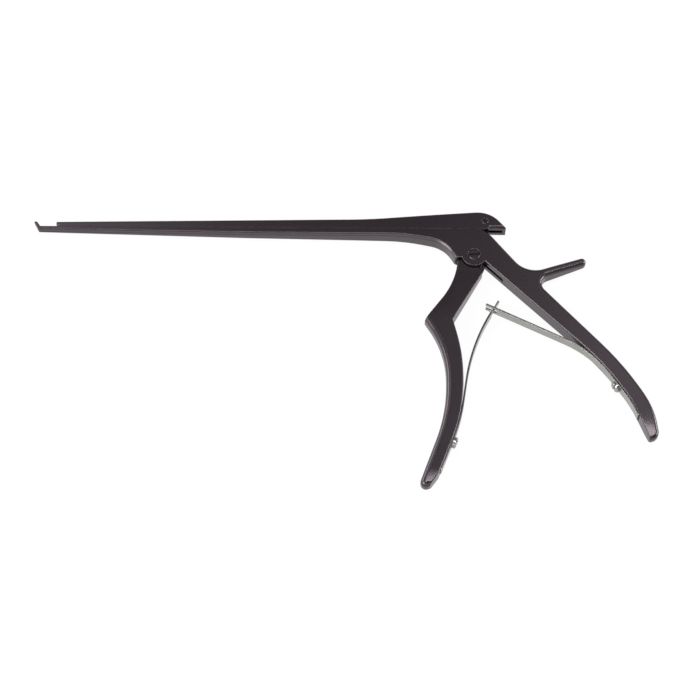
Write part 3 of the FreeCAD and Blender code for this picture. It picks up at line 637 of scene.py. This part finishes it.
@dataclass
class LeafSpring:
    """Leaf spring that is screwed to one handle and crosses the other spring at its free end.

    Attributes:
        name: Name of the finished piece.
        node: The CAD node that it stands for.
        path: Its middle line.
        body: The body of the handle that it is screwed to; not used.
        crossing: Where the two springs cross, in millimetres; not used.
        seat: Where the spring leaves its handle, in millimetres; not used.
        open_from: Nearest distance from the middle, across the leaf, that is cut away at the free end.
        open_to: Farthest distance that is cut away there.
        open_length: Length that is cut away, from the free end.
        thick: Thickness of the leaf, in millimetres.
        width: Its width in millimetres.
        height: Height of its middle over the flat side of the instrument, in millimetres.
        rows: Faces across the leaf.
        edge: Width of its broken edges, in millimetres.
        edge_steps: Faces across a broken edge.
        turned: Smallest turn at an edge that is broken, in radians.
        crease: Smallest turn at an edge that still looks sharp, in radians.
    """

    name: str
    node: str
    path: LeafPath
    body: Body
    crossing: Point
    seat: Point
    open_from: float
    open_to: float
    open_length: float
    thick: float = 0.9
    width: float = 5.0
    height: float = 4.0
    rows: int = 28
    edge: float = 0.07
    edge_steps: int = 2
    turned: float = math.radians(50)
    crease: float = math.radians(35)

    def build(self, finish: bpy.types.Material) -> bpy.types.Object:
        """Make the spring and dress it.

        Args:
            finish: The steel of the spring.

        Returns:
            The finished piece.
        """
        line = self._curve()
        strip = self._strip(line, finish)
        piece = self._solid(strip)
        bpy.data.objects.remove(line)
        piece.data.materials.clear()
        piece.data.materials.append(finish)
        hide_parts(self.node)
        self._bend_between(piece)
        log.info("built %s with %d faces", self.name, len(piece.data.polygons))
        return piece

    def _curve(self) -> bpy.types.Object:
        """The middle line as a curve object, at the middle height of the forging.

        Returns:
            The curve's object.
        """
        curve = bpy.data.curves.new(self.name + "_line", "CURVE")
        curve.dimensions = "3D"
        points = self.path.points()
        spline = curve.splines.new("POLY")
        spline.points.add(len(points) - 1)
        for target, point in zip(spline.points, points):
            target.co = (point.x, point.y, self.height * MM, 1.0)
        line = bpy.data.objects.new(self.name + "_line", curve)
        bpy.context.scene.collection.objects.link(line)
        return line

    def _strip(self, line: bpy.types.Object, finish: bpy.types.Material) -> bpy.types.Object:
        """A flat blank bent along the line by Geometry Nodes.

        Args:
            line: The curve that it follows.
            finish: The steel of the spring.

        Returns:
            An object whose modifier makes the strip.
        """
        tree = leaf_tree()
        mesh = bpy.data.meshes.new(self.name)
        strip = bpy.data.objects.new(self.name, mesh)
        bpy.context.scene.collection.objects.link(strip)
        modifier = strip.modifiers.new("blank", "NODES")
        modifier.node_group = tree
        values = {
            "Line": line,
            "Width": self.width * MM,
            "Rows": self.rows,
            "Open from": self.open_from * MM,
            "Open to": self.open_to * MM,
            "Open length": self.open_length * MM,
            "Steel": finish,
        }
        for item in tree.interface.items_tree:
            if item.item_type == "SOCKET" and item.in_out == "INPUT" and item.name in values:
                modifier[item.identifier] = values[item.name]
        return strip

    def _solid(self, strip: bpy.types.Object) -> bpy.types.Object:
        """Give the strip its thickness and broken edges, and make it a plain mesh.

        Args:
            strip: The strip, with the modifier that makes it.

        Returns:
            The same object, without modifiers.
        """
        shell = strip.modifiers.new("thickness", "SOLIDIFY")
        shell.thickness = self.thick * MM
        shell.offset = 0.0
        shell.use_even_offset = True
        broken = strip.modifiers.new("edge", "BEVEL")
        broken.width = self.edge * MM
        broken.segments = self.edge_steps
        broken.limit_method = "ANGLE"
        broken.angle_limit = self.turned
        apply_modifiers(strip)
        strip.data.shade_smooth()
        strip.data.set_sharp_from_angle(angle=self.crease)
        return strip

    def _bend_between(self, piece: bpy.types.Object) -> None:
        """Bake the spring's transform into its mesh.

        Args:
            piece: The finished spring.
        """
        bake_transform(piece)


def leaf_tree() -> bpy.types.GeometryNodeTree:
    """The Geometry Nodes tree that bends a flat, cut-out blank along a line.

    Returns:
        The tree, with the sizes of the leaf as named inputs.
    """
    tree = bpy.data.node_groups.get("leaf blank")
    if tree is not None:
        return tree
    tree = bpy.data.node_groups.new("leaf blank", "GeometryNodeTree")
    sockets = (
        ("Line", "NodeSocketObject"),
        ("Width", "NodeSocketFloat"),
        ("Rows", "NodeSocketInt"),
        ("Open from", "NodeSocketFloat"),
        ("Open to", "NodeSocketFloat"),
        ("Open length", "NodeSocketFloat"),
        ("Steel", "NodeSocketMaterial"),
    )
    for name, kind in sockets:
        tree.interface.new_socket(name, in_out="INPUT", socket_type=kind)
    tree.interface.new_socket("Geometry", in_out="OUTPUT", socket_type="NodeSocketGeometry")
    link = tree.links.new
    given = tree.nodes.new("NodeGroupInput").outputs
    result = tree.nodes.new("NodeGroupOutput").inputs

    info = tree.nodes.new("GeometryNodeObjectInfo")
    link(given["Line"], info.inputs["Object"])
    even = tree.nodes.new("GeometryNodeResampleCurve")
    even.mode = "LENGTH"
    even.inputs["Length"].default_value = LINE_STEP
    link(info.outputs["Geometry"], even.inputs["Curve"])
    length = tree.nodes.new("GeometryNodeCurveLength")
    link(even.outputs["Curve"], length.inputs["Curve"])

    grid = tree.nodes.new("GeometryNodeMeshGrid")
    link(length.outputs["Length"], grid.inputs["Size X"])
    link(given["Width"], grid.inputs["Size Y"])
    along = tree.nodes.new("ShaderNodeMath")
    along.operation = "DIVIDE"
    link(length.outputs["Length"], along.inputs[0])
    along.inputs[1].default_value = CELL_LENGTH
    link(along.outputs[0], grid.inputs["Vertices X"])
    rows = tree.nodes.new("ShaderNodeMath")
    rows.operation = "ADD"
    link(given["Rows"], rows.inputs[0])
    rows.inputs[1].default_value = 1.0
    link(rows.outputs[0], grid.inputs["Vertices Y"])

    place = tree.nodes.new("GeometryNodeInputPosition")
    split = tree.nodes.new("ShaderNodeSeparateXYZ")
    link(place.outputs[0], split.inputs[0])
    half = tree.nodes.new("ShaderNodeMath")
    half.operation = "MULTIPLY_ADD"
    link(length.outputs["Length"], half.inputs[0])
    half.inputs[1].default_value = 0.5
    link(split.outputs["X"], half.inputs[2])
    run = half.outputs[0]
    across = tree.nodes.new("ShaderNodeMath")
    across.operation = "ABSOLUTE"
    link(split.outputs["Y"], across.inputs[0])

    near = compare(tree, "LESS_THAN", run, given["Open length"])
    wide = compare(tree, "GREATER_THAN", across.outputs[0], given["Open from"])
    slim = compare(tree, "LESS_THAN", across.outputs[0], given["Open to"])
    both = conjunction(tree, conjunction(tree, near, wide), slim)
    opened = tree.nodes.new("GeometryNodeDeleteGeometry")
    opened.domain = "FACE"
    link(grid.outputs["Mesh"], opened.inputs["Geometry"])
    link(both, opened.inputs["Selection"])

    sample = tree.nodes.new("GeometryNodeSampleCurve")
    sample.mode = "LENGTH"
    sample.use_all_curves = False
    link(even.outputs["Curve"], sample.inputs["Curves"])
    link(run, sample.inputs["Length"])
    lift = tree.nodes.new("ShaderNodeCombineXYZ")
    link(split.outputs["Y"], lift.inputs["Z"])
    there = tree.nodes.new("ShaderNodeVectorMath")
    there.operation = "ADD"
    link(sample.outputs["Position"], there.inputs[0])
    link(lift.outputs[0], there.inputs[1])
    bent = tree.nodes.new("GeometryNodeSetPosition")
    link(opened.outputs["Geometry"], bent.inputs["Geometry"])
    link(there.outputs[0], bent.inputs["Position"])

    real = tree.nodes.new("GeometryNodeRealizeInstances")
    link(bent.outputs["Geometry"], real.inputs["Geometry"])
    steel = tree.nodes.new("GeometryNodeSetMaterial")
    link(real.outputs["Geometry"], steel.inputs["Geometry"])
    link(given["Steel"], steel.inputs["Material"])
    link(steel.outputs["Geometry"], result["Geometry"])
    return tree


def compare(tree: bpy.types.NodeTree, operation: str, first: Any, second: Any) -> bpy.types.NodeSocket:
    """Compare two numbers in a Geometry Nodes tree.

    Args:
        tree: The tree.
        operation: Name of the comparison.
        first: Output socket of the first number.
        second: Output socket of the second one.

    Returns:
        The output socket that says whether it holds.
    """
    node = tree.nodes.new("FunctionNodeCompare")
    node.data_type = "FLOAT"
    node.operation = operation
    tree.links.new(first, node.inputs[0])
    tree.links.new(second, node.inputs[1])
    return node.outputs[0]


def conjunction(tree: bpy.types.NodeTree, first: Any, second: Any) -> bpy.types.NodeSocket:
    """True where both inputs are true.

    Args:
        tree: The tree.
        first: Output socket of the first input.
        second: Output socket of the second one.

    Returns:
        The output socket of the result.
    """
    node = tree.nodes.new("FunctionNodeBooleanMath")
    node.operation = "AND"
    tree.links.new(first, node.inputs[0])
    tree.links.new(second, node.inputs[1])
    return node.outputs[0]


@dataclass
class ShaftPair:
    """Lower shaft with its foot plate, and the upper shaft that slides on it.

    Attributes:
        frame_node: The CAD node of the forging with the lower shaft.
        slider_node: The CAD node of the upper shaft.
    """

    frame_node: str = "fixed_frame"
    slider_node: str = "upper_shaft_slider"

    def build(self, finishes: Finishes) -> None:
        """Dress both shafts.

        Args:
            finishes: The finishes of the instrument.
        """
        softener = Softener()
        softener.soften(self.frame_node, Body.FRAME, finishes.coating, Slot.BLACK_STEEL)
        softener.soften(self.slider_node, Body.SLIDER, finishes.coating, Slot.BLACK_STEEL)


@dataclass
class FrontHandle:
    """Front handle for the fingers.

    Attributes:
        node: Its CAD node.
    """

    node: str = "front_handle"

    def build(self, finishes: Finishes) -> None:
        """Dress the handle."""
        Softener().soften(self.node, Body.TRIGGER, finishes.coating, Slot.BLACK_STEEL)


@dataclass
class Screws:
    """The four slotted screws.

    Attributes:
        black: CAD nodes of the coated ones.
        bright: CAD nodes of the bare ones.
    """

    black: tuple[str, ...] = ("pivot_screw", "drive_screw")
    bright: tuple[str, ...] = ("rear_spring_screw", "front_spring_screw")

    def build(self, finishes: Finishes) -> None:
        """Dress the screws.

        Args:
            finishes: The finishes of the instrument.
        """
        for node in self.black:
            dress(node, finishes.screw_coating)
        for node in self.bright:
            dress(node, finishes.screw)


@dataclass
class SpringPair:
    """The two crossed leaf springs.

    Attributes:
        crossing: Where they cross, in millimetres.
    """

    crossing: Point = (8.75, -26.9)

    def build(self, finishes: Finishes) -> None:
        """Build both springs.

        Args:
            finishes: The finishes of the instrument.
        """
        rear = LeafPath(
            [(5.2, -25.2, 0.0), (52.95, -48.4, 48.0), (70.35, -74.23, 50.0), (72.65, -80.3, 0.0)]
        )
        front = LeafPath(
            [(11.1, -22.6, 0.0), (-1.8, -46.7, 97.0), (-7.1, -84.3, 90.0), (-16.2, -108.3, 0.0)]
        )
        LeafSpring(
            name="rear_leaf",
            node="rear_leaf_spring",
            path=rear,
            body=Body.FRAME,
            crossing=self.crossing,
            seat=(57.0, -53.0),
            open_from=0.0,
            open_to=1.15,
            open_length=5.4,
            rows=26,
        ).build(finishes.spring)
        LeafSpring(
            name="front_leaf",
            node="front_leaf_spring",
            path=front,
            body=Body.TRIGGER,
            crossing=self.crossing,
            seat=(-7.0, -80.0),
            open_from=0.9,
            open_to=9.0,
            open_length=8.0,
            edge=0.04,
        ).build(finishes.dull_spring)


@dataclass(frozen=True)
class Softbox:
    """A soft lamp.

    Attributes:
        name: Name of the lamp.
        place: Where it hangs, in metres.
        aim: What it points at, in metres.
        width: Its width in metres.
        height: Its height in metres.
        radiance: How bright its surface is, against the white table at 1.
    """

    name: str
    place: Place
    aim: Place
    width: float
    height: float
    radiance: float

    def hang(self) -> None:
        """Add the lamp to the scene, hidden from the camera."""
        data = bpy.data.lights.new(self.name, "AREA")
        data.shape = "RECTANGLE"
        data.size = self.width
        data.size_y = self.height
        data.energy = self.radiance * math.pi * self.width * self.height
        lamp = bpy.data.objects.new(self.name, data)
        bpy.context.scene.collection.objects.link(lamp)
        lamp.location = self.place
        lamp.rotation_euler = (Vector(self.aim) - Vector(self.place)).to_track_quat("-Z", "Y").to_euler()
        lamp.visible_camera = False


SOFTBOXES = (
    Softbox("front panel", (-0.10, -1.25, 0.62), (0.0, -0.05, 0.0), 1.6, 0.50, 2.0),
    Softbox("left panel", (-1.10, -0.62, 0.66), (0.0, -0.05, 0.0), 0.9, 1.0, 8.0),
    Softbox("left back panel", (-1.20, 0.55, 0.42), (0.0, -0.06, 0.0), 1.0, 0.5, 5.0),
    Softbox("right panel", (1.25, 0.12, 0.36), (0.0, -0.05, 0.0), 1.1, 0.5, 10.0),
    Softbox("overhead panel", (0.10, -0.03, 1.20), (0.10, -0.029, 0.0), 1.0, 0.20, 13.0),
    Softbox("rear glow", (0.46, 0.62, 1.21), (0.05, -0.04, 0.0), 0.50, 0.7, 1.2),
    Softbox("shaft glow", (-0.55, 0.56, 1.05), (-0.12, 0.0, 0.0), 0.5, 0.5, 1.6),
)


@dataclass
class Studio:
    """White table, soft light and the camera of the photograph.

    Attributes:
        aim: Point that the camera looks at, in millimetres.
        distance: Distance of the camera from it, in millimetres.
        elevation: Height of the camera over the table, in degrees.
        roll: Turn of the camera about its own axis, in degrees.
        sensor: Width of the camera's sensor, in millimetres.
        picture: Width of the photograph, in pixels.
        focus: Focal length in pixels of the photograph.
        near: Nearest distance that the camera sees, in metres.
        table_reach: Reach of the table from its middle, in metres.
        table_drop: Distance from the instrument down to the table, in metres.
        paper: Share of the light that the table scatters.
        plain: How far the table looks plain white to the camera and in gloss.
        sky: Height in the sky and brightness there.
    """

    aim: Place = (-56.92, -48.58, 4.0)
    distance: float = 1000.0
    elevation: float = 63.0
    roll: float = 0.8
    sensor: float = 36.0
    picture: float = 700.0
    focus: float = 2200.0
    near: float = 0.01
    table_reach: float = 3.0
    table_drop: float = 0.4 * MM
    paper: float = 0.9
    plain: float = 0.94
    sky: tuple[Point, ...] = ((0.04, 1.0), (0.22, 0.5), (0.5, 0.12), (1.0, 0.06))

    def build(self) -> None:
        """Set up the view, the table and the lamps."""
        bpy.context.scene.view_settings.view_transform = "Standard"
        self._camera()
        self._table()
        self._world()
        for softbox in SOFTBOXES:
            softbox.hang()
            log.info("hung %s", softbox.name)

    def _camera(self) -> None:
        """The camera, as turned in the photograph."""
        rise = math.radians(self.elevation)
        back = Vector((0.0, -math.cos(rise), math.sin(rise)))
        turn = Matrix.Rotation(math.radians(self.roll), 4, back)
        lift, lean = math.sin(rise), math.cos(rise)
        upright = Matrix(((1, 0, 0), (0, lift, -lean), (0, lean, lift)))
        data = bpy.data.cameras.new("camera")
        data.lens = self.sensor * self.focus / self.picture
        data.sensor_width = self.sensor
        data.clip_start = self.near
        camera = bpy.data.objects.new("camera", data)
        bpy.context.scene.collection.objects.link(camera)
        spot = (Vector(self.aim) + back * self.distance) * MM
        camera.matrix_world = Matrix.Translation(spot) @ turn @ upright.to_4x4()
        bpy.context.scene.camera = camera

    def _table(self) -> None:
        """A wide white table, which looks plain white to the camera and in gloss."""
        mesh = bpy.data.meshes.new("table")
        signs = ((-1, -1), (1, -1), (1, 1), (-1, 1))
        corners = [(x * self.table_reach, y * self.table_reach, 0.0) for x, y in signs]
        mesh.from_pydata(corners, [], [(0, 1, 2, 3)])
        table = bpy.data.objects.new("table", mesh)
        table.location.z = -self.table_drop
        bpy.context.scene.collection.objects.link(table)
        material = bpy.data.materials.new("white table")
        material.use_nodes = True
        bench = Bench(material.node_tree)
        nodes = material.node_tree.nodes
        nodes.remove(nodes["Principled BSDF"])
        paper = bench.add("ShaderNodeBsdfDiffuse", Color=(self.paper,) * 3 + (1.0,))
        glow = bench.add("ShaderNodeEmission", Color=(1.0, 1.0, 1.0, 1.0), Strength=1.0)
        ray = bench.add("ShaderNodeLightPath")
        seen = bench.number(ray, "Is Camera Ray") + bench.number(ray, "Is Glossy Ray")
        seen = (seen + bench.number(ray, "Is Transmission Ray")) * self.plain
        mix = bench.add("ShaderNodeMixShader")
        bench.feed(mix.inputs[0], seen)
        bench.feed(mix.inputs[1], paper.outputs[0])
        bench.feed(mix.inputs[2], glow.outputs[0])
        bench.feed(nodes["Material Output"].inputs["Surface"], mix.outputs[0])
        mesh.materials.append(material)

    def _world(self) -> None:
        """A studio that is bright near the table and dark overhead."""
        world = bpy.data.worlds.new("studio")
        bpy.context.scene.world = world
        world.use_nodes = True
        bench = Bench(world.node_tree)
        nodes = world.node_tree.nodes
        sky = nodes["Background"]
        place = bench.add("ShaderNodeTexCoord").outputs["Generated"]
        rise = bench.number(bench.add("ShaderNodeSeparateXYZ", Vector=place), "Z")
        stops = [(height, (brightness,) * 3) for height, brightness in self.sky]
        ramp = bench.add("ShaderNodeValToRGB", {"stops": stops}, Fac=rise)
        bench.feed(sky.inputs["Color"], ramp.outputs["Color"])
        sky.inputs["Strength"].default_value = 1.0


def main() -> None:
    """Load the frame, dress it and set the studio."""
    logging.basicConfig(level=logging.INFO)
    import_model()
    finishes = Finishes.make()
    Studio().build()
    for part in (ShaftPair(), FrontHandle(), Screws(), SpringPair()):
        part.build(finishes)
        log.info("finished %s", type(part).__name__)


if __name__ == "__main__":
    main()
